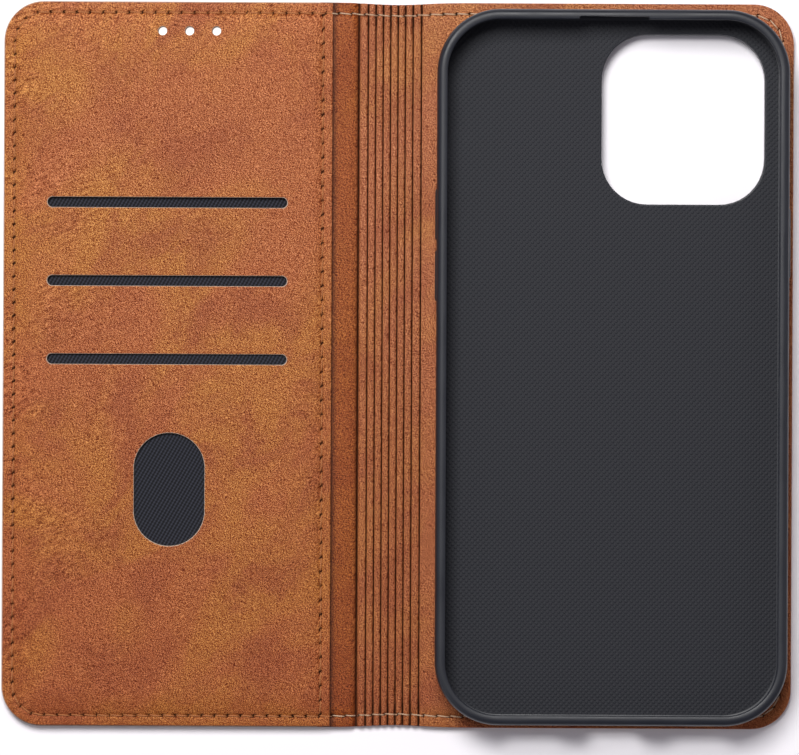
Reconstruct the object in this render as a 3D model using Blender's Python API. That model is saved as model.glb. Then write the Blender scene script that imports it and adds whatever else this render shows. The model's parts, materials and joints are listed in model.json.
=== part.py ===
"""Folio wallet case for a large phone: a soft leather cover that folds round a moulded phone tray.

The case lies open on its back. X runs across both covers with the tray on the +X side, Y runs up
the phone, and Z is up, away from the table. The origin is under the middle of the open case.
Layers are listed from the table upwards, and neighbouring layers keep a small gap.
"""

import math

import bpy

MM = 0.001
GAP = 0.3 * MM  # between touching layers

# The phone that the tray is moulded for, and the bank card that the pockets take.
PHONE_WIDTH = 77.6 * MM
PHONE_LENGTH = 160.7 * MM
PHONE_THICKNESS = 7.85 * MM
PHONE_CORNER = 13.0 * MM
CARD_WIDTH = 53.98 * MM

# The open case.
CASE_WIDTH = 181.5 * MM
CASE_LENGTH = 166.6 * MM
CASE_CORNER = 9.2 * MM
FREE_EDGE = CASE_WIDTH / 2
END_EDGE = CASE_LENGTH / 2

# The two fold lines, where the leather bends with no board in it.
FOLD_HEIGHT = 1.4 * MM
BACK_FOLD = 7.2 * MM
FRONT_FOLD = -7.4 * MM
FOLD_CLEARANCE = 1.5 * MM  # from a fold line to the nearest stiff layer

# Layers.
LEATHER = 0.7 * MM
BOARD = 0.8 * MM
LINING = 0.5 * MM
FABRIC = 0.25 * MM
BOARD_BOTTOM = LEATHER + GAP
BOARD_TOP = BOARD_BOTTOM + BOARD
LINING_BOTTOM = BOARD_TOP + GAP
LINING_TOP = LINING_BOTTOM + LINING
BOARD_INSET = 3.5 * MM  # the leather meets leather outside the board, where it is sewn
BOARD_CORNER = CASE_CORNER - BOARD_INSET

# Phone tray.
TRAY_FIT = 0.15 * MM  # between the phone and the tray wall
TRAY_WALL = 1.35 * MM
TRAY_LIP = 1.05 * MM  # how far the lip reaches in over the glass
TRAY_LIP_THICKNESS = 0.7 * MM
TRAY_FLOOR = 0.7 * MM
TRAY_SKIRT = 2.5 * MM
TRAY_SIDE_MARGIN = 1.35 * MM
TRAY_FOOT_MARGIN = 1.1 * MM
TRAY_BOTTOM = LINING_TOP + GAP
FILM = 0.15 * MM
FILM_RECESS = FILM + GAP
FLOOR_TOP = TRAY_BOTTOM + FILM_RECESS + TRAY_FLOOR
GLASS_TOP = FLOOR_TOP + PHONE_THICKNESS
TRAY_TOP = GLASS_TOP + TRAY_LIP_THICKNESS
PHONE_MIDDLE = FLOOR_TOP + PHONE_THICKNESS / 2
CAVITY_WIDTH = PHONE_WIDTH + 2 * TRAY_FIT
CAVITY_LENGTH = PHONE_LENGTH + 2 * TRAY_FIT
CAVITY_CORNER = PHONE_CORNER + TRAY_FIT
CAVITY_RIGHT = FREE_EDGE - TRAY_SIDE_MARGIN - TRAY_WALL
CAVITY_LEFT = CAVITY_RIGHT - CAVITY_WIDTH
CAVITY_FOOT = -END_EDGE + TRAY_FOOT_MARGIN + TRAY_WALL
CAVITY_HEAD = CAVITY_FOOT + CAVITY_LENGTH
TRAY_HEAD = CAVITY_HEAD + TRAY_WALL
TRAY_MIDDLE = (CAVITY_LEFT + CAVITY_RIGHT) / 2

# Camera window, in the head corner of the free edge, with the tray's collar through the leather.
CAMERA_WIDTH = 37.5 * MM
CAMERA_LENGTH = 39.0 * MM
CAMERA_CORNER = 10.5 * MM
CAMERA_MARGIN = 4.0 * MM  # from the cavity's wall to the window
COLLAR_WALL = 1.0 * MM
COLLAR_RAISE = 0.3 * MM  # the collar stops this far above the table

# Side buttons and openings, measured down from the tray's head end.
BUTTON_HEIGHT = 4.0 * MM
BUTTON_PROUD = 0.35 * MM
BUTTON_THICKNESS = 1.4 * MM
VOLUME_LENGTH = 11.8 * MM
VOLUME_UP_DOWN_FROM_HEAD = (47.0 * MM, 61.0 * MM)
POWER_LENGTH = 16.0 * MM
POWER_FROM_HEAD = 53.3 * MM
SWITCH_LENGTH = 9.5 * MM
SWITCH_HEIGHT = 5.0 * MM
SWITCH_FROM_HEAD = 33.5 * MM
PORT_LENGTH = 13.5 * MM
PORT_HEIGHT = 5.6 * MM
SPEAKER_LENGTH = 14.0 * MM
SPEAKER_HEIGHT = 3.4 * MM
SPEAKER_OFFSET = 19.0 * MM
EARPIECE_LENGTH = 16.0 * MM
EARPIECE_DEPTH = 0.6 * MM

# Card pockets on the front cover.
PANEL_RIGHT = -15.2 * MM
DIVIDER_PITCH = FABRIC + GAP
BACKING_BOTTOM = LINING_BOTTOM
PANEL_BOTTOM = BACKING_BOTTOM + 3 * DIVIDER_PITCH
PANEL_TOP = PANEL_BOTTOM + LEATHER
FABRIC_INSET = 1.0 * MM
FABRIC_RIGHT = -18.4 * MM
SLOT_LENGTH = CARD_WIDTH + 1.0 * MM
SLOT_HEIGHT = 2.35 * MM
SLOT_MIDDLE = -53.0 * MM
SLOT_TOP = 37.1 * MM
SLOT_PITCH = 18.0 * MM
DIVIDER_ABOVE_SLOT = 4.0 * MM
WINDOW_WIDTH = 16.2 * MM
WINDOW_LENGTH = 25.9 * MM
WINDOW_MIDDLE = (-52.3 * MM, -28.8 * MM)

# Sound holes over the phone's earpiece.
HOLE_DIAMETER = 2.0 * MM
HOLE_MIDDLE = (-48.1 * MM, 76.5 * MM)
HOLE_PITCH = 6.2 * MM

# Closure magnets in the front board, and steel keepers in the back board.
MAGNET_WIDTH = 5.0 * MM
MAGNET_LENGTH = 26.0 * MM
MAGNET_EDGE_INSET = 6.5 * MM
MAGNET_MIDDLES = {"upper": 10.0 * MM, "lower": -42.0 * MM}  # clear of the camera window

# Pleats pressed into the spine lining.
PLEAT_TOP = BOARD_BOTTOM + 1.0 * MM
PLEAT_COUNT = 9
PLEAT_FIRST = -9.1 * MM
PLEAT_PITCH = 1.755 * MM
PLEAT_WIDTH = 0.7 * MM
PLEAT_DEPTH = 0.5 * MM

# Straight pieces in each quarter circle.
ARC_STEPS = 8
SMALL_ARC_STEPS = 4
SMALL_ARC = 2.0 * MM  # a radius up to this takes the smaller count
FINISHES = {  # colour, roughness and metallic value
    "leather": ((0.40, 0.15, 0.055), 0.55, 0.0),
    "lining": ((0.34, 0.13, 0.055), 0.6, 0.0),
    "fabric": ((0.022, 0.023, 0.03), 0.85, 0.0),
    "board": ((0.55, 0.52, 0.47), 0.8, 0.0),
    "rubber": ((0.023, 0.024, 0.03), 0.45, 0.0),
    "film": ((0.75, 0.72, 0.62), 0.4, 0.0),
    "steel": ((0.62, 0.62, 0.64), 0.3, 1.0),
}


def clear_scene():
    for old in list(bpy.data.objects):
        bpy.data.objects.remove(old)


def finish(obj, name):
    """Gives the object the named finish, made once."""
    material = bpy.data.materials.get(name)
    if material is None:
        colour, roughness, metallic = FINISHES[name]
        material = bpy.data.materials.new(name)
        material.use_nodes = True
        shader = material.node_tree.nodes["Principled BSDF"]
        shader.inputs["Base Color"].default_value = (*colour, 1.0)
        shader.inputs["Roughness"].default_value = roughness
        shader.inputs["Metallic"].default_value = metallic
    obj.data.materials.append(material)


def pivot(name, location, parent=None):
    """An empty on a joint's axis, which carries the pieces that move with it."""
    empty = bpy.data.objects.new(name, None)
    bpy.context.scene.collection.objects.link(empty)
    empty.location = location
    hold(empty, parent)
    return empty


def hold(obj, parent):
    """Parents obj without moving it."""
    if parent is None:
        return
    bpy.context.view_layer.update()
    obj.parent = parent
    obj.matrix_parent_inverse = parent.matrix_world.inverted()


def outline(left, right, foot, head, corners):
    """A rectangle's outline, with corner radii given anticlockwise from the foot-left corner."""
    foot_left, foot_right, head_right, head_left = corners
    points = []
    for x, y, radius, start in (
        (left + foot_left, foot + foot_left, foot_left, math.pi),
        (right - foot_right, foot + foot_right, foot_right, 1.5 * math.pi),
        (right - head_right, head - head_right, head_right, 0.0),
        (left + head_left, head - head_left, head_left, 0.5 * math.pi),
    ):
        if radius == 0:
            points.append((x, y))
            continue
        steps = SMALL_ARC_STEPS if radius < SMALL_ARC else ARC_STEPS
        for step in range(steps + 1):
            angle = start + 0.5 * math.pi * step / steps
            points.append((x + radius * math.cos(angle), y + radius * math.sin(angle)))
    return points


def centred(middle, width, length, radius):
    """The outline of a rounded rectangle about its middle; a radius of half a side makes a round end."""
    x, y = middle
    radius = min(radius, width / 2 - 0.01 * MM, length / 2 - 0.01 * MM)
    return outline(x - width / 2, x + width / 2, y - length / 2, y + length / 2, (radius,) * 4)


def prism(name, points, low, high, along="Z"):
    """A solid with this anticlockwise outline between two planes across one axis.

    Along X the outline is read as (Y, Z), and along Y as (X, Z).
    """
    vertices = []
    for level in (low, high):
        for u, v in points:
            vertices.append({"X": (level, u, v), "Y": (u, level, v), "Z": (u, v, level)}[along])
    count = len(points)
    faces = [tuple(reversed(range(count))), tuple(range(count, 2 * count))]
    for i in range(count):
        after = (i + 1) % count
        faces.append((i, after, after + count, i + count))
    data = bpy.data.meshes.new(name)
    data.from_pydata(vertices, [], faces)
    if along == "Y":
        data.flip_normals()
    obj = bpy.data.objects.new(name, data)
    bpy.context.scene.collection.objects.link(obj)
    return obj


def piece(name, points, low, high, material, parent, along="Z"):
    """A prism that is one of the case's own pieces."""
    obj = prism(name, points, low, high, along)
    finish(obj, material)
    hold(obj, parent)
    return obj


def cut(obj, points, low, high, along="Z", operation="DIFFERENCE"):
    """Takes a prism away from obj, or joins one to it."""
    tool = prism(f"{obj.name}_tool", points, low, high, along)
    tool.hide_render = True
    tool.display_type = "WIRE"
    boolean = obj.modifiers.new(tool.name, "BOOLEAN")
    boolean.operation = operation
    boolean.solver = "EXACT"
    boolean.object = tool


def through(obj, points):
    """Cuts an opening through every height that the case has."""
    cut(obj, points, -1 * MM, TRAY_TOP + 1 * MM)


def soften(obj, width, segments, height=None):
    """Rounds the edges of obj, or only those that lie at one height."""
    bevel = obj.modifiers.new("soft_edge", "BEVEL")
    bevel.width = width
    bevel.segments = segments
    if height is None:
        bevel.limit_method = "ANGLE"
        return
    bevel.limit_method = "WEIGHT"
    weights = obj.data.attributes.new("bevel_weight_edge", "FLOAT", "EDGE")
    for edge in obj.data.edges:
        ends = [obj.data.vertices[i].co.z for i in edge.vertices]
        weights.data[edge.index].value = float(all(abs(z - height) < 0.01 * MM for z in ends))


def smooth(obj):
    obj.data.shade_smooth()
    obj.data.set_sharp_from_angle(angle=math.radians(30))


def front_outline(inset, fold_side, corner=CASE_CORNER):
    """The front cover's outline: square at the fold, rounded at the free edge."""
    return outline(
        -FREE_EDGE + inset, fold_side, -END_EDGE + inset, END_EDGE - inset, (corner, 0, 0, corner)
    )


def back_outline(inset, fold_side, corner=CASE_CORNER):
    """The back cover's outline, which mirrors the front cover's."""
    return outline(
        fold_side, FREE_EDGE - inset, -END_EDGE + inset, END_EDGE - inset, (0, corner, corner, 0)
    )


def tray_outline(offset):
    """The tray's rounded outline, this far outside the cavity's wall."""
    return outline(
        CAVITY_LEFT - offset,
        CAVITY_RIGHT + offset,
        CAVITY_FOOT - offset,
        CAVITY_HEAD + offset,
        (CAVITY_CORNER + offset,) * 4,
    )


def camera_outline(offset):
    """The camera window's outline, this far outside its opening."""
    return centred(
        (
            CAVITY_RIGHT - CAMERA_MARGIN - CAMERA_WIDTH / 2,
            CAVITY_HEAD - CAMERA_MARGIN - CAMERA_LENGTH / 2,
        ),
        CAMERA_WIDTH + 2 * offset,
        CAMERA_LENGTH + 2 * offset,
        CAMERA_CORNER + offset,
    )


def sound_holes():
    """The outlines of the three sound holes."""
    x, y = HOLE_MIDDLE
    return [
        centred((x + place * HOLE_PITCH, y), HOLE_DIAMETER, HOLE_DIAMETER, HOLE_DIAMETER)
        for place in (-1, 0, 1)
    ]


def magnet_outline(x, y, gap=0.0):
    return centred((x, y), MAGNET_WIDTH + 2 * gap, MAGNET_LENGTH + 2 * gap, 1.0 * MM)


def back_cover(parent):
    """Outer leather, board with two steel keepers, and lining, all with the camera window."""
    fold = BACK_FOLD + FOLD_CLEARANCE
    collar = COLLAR_WALL + GAP
    leather = piece("back_outer_leather", back_outline(0, fold), 0, BOARD_TOP, "leather", parent)
    recess = back_outline(BOARD_INSET - GAP, fold + BOARD_INSET / 2 - GAP, BOARD_CORNER + GAP)
    cut(leather, recess, LEATHER, BOARD_TOP + 1 * MM)
    through(leather, camera_outline(collar))
    board = piece(
        "back_board",
        back_outline(BOARD_INSET, fold + BOARD_INSET / 2, BOARD_CORNER),
        BOARD_BOTTOM,
        BOARD_TOP,
        "board",
        parent,
    )
    through(board, camera_outline(collar))
    x = FREE_EDGE - MAGNET_EDGE_INSET - MAGNET_WIDTH / 2
    for place, y in MAGNET_MIDDLES.items():
        through(board, magnet_outline(x, y, GAP))
        shape = magnet_outline(x, y)
        piece(f"back_keeper_{place}", shape, BOARD_BOTTOM, BOARD_TOP, "steel", parent)
    lining = piece(
        "back_lining", back_outline(0, fold), LINING_BOTTOM, LINING_TOP, "lining", parent
    )
    through(lining, camera_outline(collar))


def phone_tray(parent):
    """The moulded tray with its lip, camera collar and openings, and the film that bonds it down."""
    tray = piece("phone_tray", tray_outline(TRAY_WALL), TRAY_BOTTOM, TRAY_TOP, "rubber", parent)
    soften(tray, 1.0 * MM, 3, TRAY_TOP)
    collar = camera_outline(COLLAR_WALL)
    cut(tray, tray_outline(TRAY_WALL - TRAY_SKIRT), 0, TRAY_BOTTOM + FILM_RECESS)
    cut(tray, tray_outline(0), FLOOR_TOP, GLASS_TOP)
    cut(tray, tray_outline(-TRAY_LIP), FLOOR_TOP + 1 * MM, TRAY_TOP + 1 * MM)
    cut(tray, collar, COLLAR_RAISE, FLOOR_TOP - 0.2 * MM, operation="UNION")
    through(tray, camera_outline(0))
    earpiece = centred(
        (TRAY_MIDDLE, CAVITY_HEAD - TRAY_LIP),
        EARPIECE_LENGTH,
        2 * EARPIECE_DEPTH,
        EARPIECE_DEPTH,
    )
    cut(tray, earpiece, GLASS_TOP - 1 * MM, TRAY_TOP + 1 * MM)
    port = centred((TRAY_MIDDLE, PHONE_MIDDLE), PORT_LENGTH, PORT_HEIGHT, PORT_HEIGHT)
    cut(tray, port, CAVITY_FOOT - 2 * TRAY_WALL, CAVITY_FOOT + TRAY_WALL / 2, along="Y")
    for side in (-1, 1):
        speaker = centred(
            (TRAY_MIDDLE + side * SPEAKER_OFFSET, PHONE_MIDDLE),
            SPEAKER_LENGTH,
            SPEAKER_HEIGHT,
            SPEAKER_HEIGHT,
        )
        cut(tray, speaker, CAVITY_FOOT - 2 * TRAY_WALL, CAVITY_FOOT + TRAY_WALL / 2, along="Y")
    switch = centred(
        (TRAY_HEAD - SWITCH_FROM_HEAD, PHONE_MIDDLE), SWITCH_LENGTH, SWITCH_HEIGHT, 1.0 * MM
    )
    cut(tray, switch, CAVITY_LEFT - 2 * TRAY_WALL, CAVITY_LEFT + TRAY_WALL / 2, along="X")
    up, down = VOLUME_UP_DOWN_FROM_HEAD
    button(tray, "volume_up_cover", TRAY_HEAD - up, VOLUME_LENGTH, -1)
    button(tray, "volume_down_cover", TRAY_HEAD - down, VOLUME_LENGTH, -1)
    button(tray, "power_button_cover", TRAY_HEAD - POWER_FROM_HEAD, POWER_LENGTH, 1)
    smooth(tray)
    film = piece(
        "tray_adhesive_film",
        tray_outline(TRAY_WALL - TRAY_SKIRT - GAP),
        TRAY_BOTTOM,
        TRAY_BOTTOM + FILM,
        "film",
        parent,
    )
    through(film, camera_outline(COLLAR_WALL + GAP))


def button(tray, name, y, length, side):
    """A button cover that slides in its own window of the tray's side wall; side is -1 at the spine."""
    wall = CAVITY_RIGHT if side > 0 else CAVITY_LEFT
    window = centred((y, PHONE_MIDDLE), length + 2 * GAP, BUTTON_HEIGHT + 2 * GAP, 1.3 * MM)
    cut(tray, window, wall - 2 * TRAY_WALL, wall + 2 * TRAY_WALL, along="X")
    outer_face = wall + side * (TRAY_WALL + BUTTON_PROUD)
    middle = outer_face - side * BUTTON_THICKNESS / 2
    pad = prism(
        name,
        centred((0, 0), length, BUTTON_HEIGHT, 1.0 * MM),
        -BUTTON_THICKNESS / 2,
        BUTTON_THICKNESS / 2,
        along="X",
    )
    finish(pad, "rubber")
    soften(pad, 0.25 * MM, 2)
    pad.location = (middle, y, PHONE_MIDDLE)
    hold(pad, tray.parent)
    smooth(pad)


def spine(parent):
    """The narrow strip between the folds: outer leather, and a soft lining with pressed pleats."""
    left = FRONT_FOLD + FOLD_CLEARANCE
    right = BACK_FOLD - FOLD_CLEARANCE
    strip = outline(left, right, -END_EDGE, END_EDGE, (0,) * 4)
    piece("spine_outer_leather", strip, 0, LEATHER, "leather", parent)
    profile = [(left, BOARD_BOTTOM), (right, BOARD_BOTTOM), (right, PLEAT_TOP)]
    for place in reversed(range(PLEAT_COUNT)):
        x = PLEAT_FIRST + place * PLEAT_PITCH
        if left + PLEAT_WIDTH / 2 < x < right - PLEAT_WIDTH / 2:
            profile += [
                (x + PLEAT_WIDTH / 2, PLEAT_TOP),
                (x, PLEAT_TOP - PLEAT_DEPTH),
                (x - PLEAT_WIDTH / 2, PLEAT_TOP),
            ]
    profile.append((left, PLEAT_TOP))
    piece("spine_lining", profile, -END_EDGE, END_EDGE, "lining", parent, along="Y")


def front_cover(parent):
    """Outer leather, board with two magnets, and the lining strip beside the pockets."""
    fold = FRONT_FOLD - FOLD_CLEARANCE
    leather = piece("front_outer_leather", front_outline(0, fold), 0, BOARD_TOP, "leather", parent)
    recess = front_outline(BOARD_INSET - GAP, fold - BOARD_INSET / 2 + GAP, BOARD_CORNER + GAP)
    cut(leather, recess, LEATHER, BOARD_TOP + 1 * MM)
    board = piece(
        "front_board",
        front_outline(BOARD_INSET, fold - BOARD_INSET / 2, BOARD_CORNER),
        BOARD_BOTTOM,
        BOARD_TOP,
        "board",
        parent,
    )
    x = -FREE_EDGE + MAGNET_EDGE_INSET + MAGNET_WIDTH / 2
    for place, y in MAGNET_MIDDLES.items():
        through(board, magnet_outline(x, y, GAP))
        shape = magnet_outline(x, y)
        piece(f"front_magnet_{place}", shape, BOARD_BOTTOM, BOARD_TOP, "steel", parent)
    strip = outline(FABRIC_RIGHT + GAP, fold, -END_EDGE, END_EDGE, (0,) * 4)
    piece("front_lining", strip, LINING_BOTTOM, LINING_TOP, "lining", parent)
    for hole in sound_holes():
        through(leather, hole)
        through(board, hole)


def card_pockets(parent):
    """Three fabric layers, each reaching a little above the slot that it backs, and the panel."""
    fabric_corner = CASE_CORNER - FABRIC_INSET
    side = -FREE_EDGE + FABRIC_INSET
    foot = -END_EDGE + FABRIC_INSET
    layers = (
        ("pocket_backing", END_EDGE - FABRIC_INSET, fabric_corner),
        ("middle_pocket_divider", SLOT_TOP - SLOT_PITCH + DIVIDER_ABOVE_SLOT, 0),
        ("lower_pocket_divider", SLOT_TOP - 2 * SLOT_PITCH + DIVIDER_ABOVE_SLOT, 0),
    )
    for place, (name, head, head_corner) in enumerate(layers):
        low = BACKING_BOTTOM + place * DIVIDER_PITCH
        shape = outline(side, FABRIC_RIGHT, foot, head, (fabric_corner, 0, 0, head_corner))
        layer = piece(name, shape, low, low + FABRIC, "fabric", parent)
        if head_corner:
            for hole in sound_holes():
                through(layer, hole)
    panel = piece(
        "card_pocket_panel",
        front_outline(0, PANEL_RIGHT),
        PANEL_BOTTOM,
        PANEL_TOP,
        "leather",
        parent,
    )
    for place in range(3):
        y = SLOT_TOP - place * SLOT_PITCH
        through(panel, centred((SLOT_MIDDLE, y), SLOT_LENGTH, SLOT_HEIGHT, SLOT_HEIGHT))
    through(panel, centred(WINDOW_MIDDLE, WINDOW_WIDTH, WINDOW_LENGTH, WINDOW_WIDTH))
    for hole in sound_holes():
        through(panel, hole)


clear_scene()
back = pivot("back_body", (0, 0, 0))
spine_pivot = pivot("spine_pivot", (BACK_FOLD, 0, FOLD_HEIGHT), back)
front_pivot = pivot("front_pivot", (FRONT_FOLD, 0, FOLD_HEIGHT), spine_pivot)
back_cover(back)
phone_tray(back)
spine(spine_pivot)
front_cover(front_pivot)
card_pockets(front_pivot)
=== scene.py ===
"""The looks of a folio phone wallet case that lies open: pocketed front cover, pleated spine, and
a back cover with a moulded phone tray. Shapes are in millimetres, in the frame of the solids."""

import json
import math

import bpy
import numpy as np
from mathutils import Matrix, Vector
from mathutils.geometry import delaunay_2d_cdt


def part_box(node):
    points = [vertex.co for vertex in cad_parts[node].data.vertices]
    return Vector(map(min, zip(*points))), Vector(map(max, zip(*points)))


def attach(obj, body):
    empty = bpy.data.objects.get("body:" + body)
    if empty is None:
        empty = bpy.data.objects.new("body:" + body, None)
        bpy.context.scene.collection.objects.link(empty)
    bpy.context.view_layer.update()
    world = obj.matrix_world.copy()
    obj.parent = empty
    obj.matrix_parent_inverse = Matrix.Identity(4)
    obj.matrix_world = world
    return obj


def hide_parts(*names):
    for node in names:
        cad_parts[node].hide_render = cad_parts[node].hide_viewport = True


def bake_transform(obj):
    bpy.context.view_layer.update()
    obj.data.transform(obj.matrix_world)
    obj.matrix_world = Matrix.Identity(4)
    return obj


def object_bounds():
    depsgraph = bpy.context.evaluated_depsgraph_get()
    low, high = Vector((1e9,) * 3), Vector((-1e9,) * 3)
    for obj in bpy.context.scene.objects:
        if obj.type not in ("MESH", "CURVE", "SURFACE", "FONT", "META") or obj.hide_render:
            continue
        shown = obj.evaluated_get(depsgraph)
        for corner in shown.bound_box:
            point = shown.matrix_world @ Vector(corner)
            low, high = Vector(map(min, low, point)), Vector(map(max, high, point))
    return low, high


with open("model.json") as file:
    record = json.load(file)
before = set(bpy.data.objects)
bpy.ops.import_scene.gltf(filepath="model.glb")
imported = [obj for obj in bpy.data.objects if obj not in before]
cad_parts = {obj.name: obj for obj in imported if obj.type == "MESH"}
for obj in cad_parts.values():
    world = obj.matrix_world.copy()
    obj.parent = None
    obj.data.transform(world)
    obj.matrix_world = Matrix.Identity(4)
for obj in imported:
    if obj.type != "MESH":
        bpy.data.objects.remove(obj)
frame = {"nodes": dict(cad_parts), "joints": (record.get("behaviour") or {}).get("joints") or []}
cad_low, cad_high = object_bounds()


# ---- Outer leather ---------------------------------------------------------------------------
# The outside is one sheet of coated leather that runs round the spine from cover to cover. Its
# edge is cut clean and sewn to the layers above, so it is thicker there and dips under the thread.

MM = 0.001
EDGE = cad_high.x / MM  # the case's free edges are at X = -EDGE and EDGE
END = cad_high.y / MM  # and its ends at Y = -END and END
CORNER = 9.2
COVER = (-EDGE, EDGE, -END, END, CORNER)  # left, right, foot, head and corner radius
FOLDS = {j["child"]: j["pos_m"][0] / MM for j in frame["joints"] if j["type"] == "hinge"}
BACK_FOLD, FRONT_FOLD = FOLDS["spine"], FOLDS["front_cover"]
PLEATS = (-9.2, -7.05, -5.3, -3.6, -1.9, -0.2, 1.5, 3.25, 5.2)  # the grooves pressed into the spine
SEAM = PLEATS[5]  # where the front half of a skin meets the back half, out of sight in a groove

SEWING_INSET = 2.55
STITCH_PITCH = 3.0
HOLE_SLANT = 1.7  # the needle's blade cuts a slit this much longer than it is wide
SKIN_TOP = 0.95
SKIN_RIM = 1.35  # the rim under the lining
PANEL_RIM = 1.95  # the rim under the pocket panel
RIM_WIDTH = 3.2
RIM_FALL = 0.3  # the width of the slope from the rim down to the flat
LINING_LEFT = -18.1
EDGE_RADIUS = 0.28  # how far each cut edge is rounded
ROUND_EDGE = (0.0, 0.05, 0.14, EDGE_RADIUS)  # insets of the rings that shape a rounded edge
HOLE_EDGE_RADIUS = 0.14
DRAWN_IN = 0.5  # how far the pleats pull in the ends of the spine


def ease(low, high, value):
    """0 below low, 1 above high, and a smooth rise between."""
    t = np.clip((value - low) / (high - low), 0.0, 1.0)
    return t * t * (3.0 - 2.0 * t)


def ridge(distance, width):
    """1 on a line, fading out on both sides of it."""
    return np.exp(-((distance / width) ** 2))


def depth(plate, x, y):
    """How far each point is inside a rounded rectangle; negative outside it."""
    left, right, foot, head, radius = plate
    across = np.abs(x - (left + right) / 2) - (right - left) / 2 + radius
    along = np.abs(y - (foot + head) / 2) - (head - foot) / 2 + radius
    beyond = np.hypot(np.maximum(across, 0), np.maximum(along, 0))
    return radius - beyond - np.minimum(np.maximum(across, along), 0)


def grown(plate, by):
    """The rounded rectangle made larger by this much on every side."""
    left, right, foot, head, radius = plate
    return (left - by, right + by, foot - by, head + by, radius + by)


def pill(middle, width, length, radius=None):
    """A rounded rectangle about its middle; with no radius its ends are round."""
    x, y = middle
    radius = min(width, length) / 2 if radius is None else radius
    return (x - width / 2, x + width / 2, y - length / 2, y + length / 2, radius)


def spread(path, step):
    """The path with its long stretches divided into steps."""
    points = [path[0]]
    for end in path[1:]:
        start = points[-1]
        parts = math.ceil(math.dist(start, end) / step - 1e-6)
        for i in range(1, parts + 1):
            points.append(tuple(a + (b - a) * i / parts for a, b in zip(start, end)))
    return points


def arc(x, y, radius, start, steps):
    """A quarter circle from the start angle, anticlockwise."""
    angles = [math.radians(start + 90 * i / steps) for i in range(steps + 1)]
    return [(x + radius * math.cos(a), y + radius * math.sin(a)) for a in angles]


def ring(plate, steps):
    """The points round a rounded rectangle, anticlockwise, with its corners in steps."""
    left, right, foot, head, radius = plate
    points = arc(right - radius, foot + radius, radius, -90, steps)
    points += arc(right - radius, head - radius, radius, 0, steps)
    points += arc(left + radius, head - radius, radius, 90, steps)
    return points + arc(left + radius, foot + radius, radius, 180, steps)


def outline(plate, step, steps=10):
    """A closed path round a rounded rectangle."""
    path = ring(plate, steps)
    return spread(path + path[:1], step)


def rim(inset, side, limit, step, steps=14):
    """A path from X = limit at the foot, round one cover's free edge, to X = limit at the head."""
    radius = max(CORNER - inset, 0.5)
    x, y = EDGE - inset - radius, END - inset - radius
    path = [(limit, -END + inset)]
    path += [(side * px, py) for px, py in arc(x, -y, radius, -90, steps)]
    path += [(side * px, py) for px, py in arc(x, y, radius, 0, steps)]
    path.append((limit, END - inset))
    return spread(path, step)


def crossing(x, step=2.5):
    """A straight path from the foot of the case to its head."""
    return spread([(x, -END), (x, -END + 5), (x, END - 5), (x, END)], step)


def meadow(plate, pitch):
    """Spots in staggered rows all over a rounded rectangle."""
    left, right, foot, head, _ = plate
    rows, columns = np.arange(foot + pitch / 2, head, pitch), np.arange(left, right, pitch)
    spots = [(x + pitch / 2 * (i % 2), y) for i, y in enumerate(rows) for x in columns]
    return [p for p in spots if depth(plate, *p) > 0.3 * pitch]


def needle_marks(path, pitch):
    """Where the needle goes through: points evenly spaced along a path."""
    path = np.array(path)
    along = np.concatenate([[0.0], np.cumsum(np.linalg.norm(np.diff(path, axis=0), axis=1))])
    where = np.linspace(0.0, along[-1], round(along[-1] / pitch) + 1)
    return np.column_stack([np.interp(where, along, path[:, i]) for i in (0, 1)])


ROUND_SEAM = needle_marks(outline(grown(COVER, -SEWING_INSET), 0.5, 24), STITCH_PITCH)


def punched(x, y, marks, reach=0.32):
    """1 in each needle slit, which leans up to the right, fading out round it."""
    right, up = x[:, None] - marks[None, :, 0], y[:, None] - marks[None, :, 1]
    gaps = np.hypot((right + up) / HOLE_SLANT, right - up).min(axis=1) / math.sqrt(2)
    return ridge(gaps, reach)


def around(marks):
    """Spots in and round each needle slit, so that its dent has a shape."""
    spots = [tuple(mark) for mark in marks]
    for radius in (0.15, 0.28, 0.45):
        for i in range(8):
            along = HOLE_SLANT * radius * math.cos(i * math.pi / 4)
            across = radius * math.sin(i * math.pi / 4)
            right, up = (along - across) / math.sqrt(2), (along + across) / math.sqrt(2)
            spots += [(x + right, y + up) for x, y in marks]
    return spots


def drawn_in(x, y):
    """The tight pleats draw the spine's ends in a little."""
    return y * (1 - DRAWN_IN / END * ridge(x - SEAM, 8.0))


def rounding(distance, radius=EDGE_RADIUS):
    """How much lower a rounded edge is, this far in from the cut."""
    inwards = np.clip(radius - distance, 0.0, radius)
    return radius - np.sqrt(radius**2 - inwards**2)


def body_mesh(name, vertices, faces, materials, second=(), third=()):
    """An object from points in mm; the faces numbered in second and third take those materials."""
    mesh = bpy.data.meshes.new(name)
    mesh.from_pydata((np.asarray(vertices) * MM).tolist(), [], faces)
    for material in materials:
        mesh.materials.append(material)
    marked = np.zeros(len(mesh.polygons), np.int32)
    marked[list(second)] = 1
    marked[list(third)] = 2
    mesh.polygons.foreach_set("material_index", marked)
    mesh.shade_smooth()
    mesh.set_sharp_from_angle(angle=math.radians(50))
    corners = np.zeros(len(mesh.loops), np.int32)
    mesh.loops.foreach_get("vertex_index", corners)
    x, y, z = np.asarray(vertices, float)[corners].T
    lay = np.column_stack([x + 0.7 * z, y + 0.9 * z]) / 10.0  # one unit of the map is 10 mm
    mesh.uv_layers.new(name="lay").data.foreach_set("uv", lay.ravel())
    obj = bpy.data.objects.new(name, mesh)
    bpy.context.scene.collection.objects.link(obj)
    return obj


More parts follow.
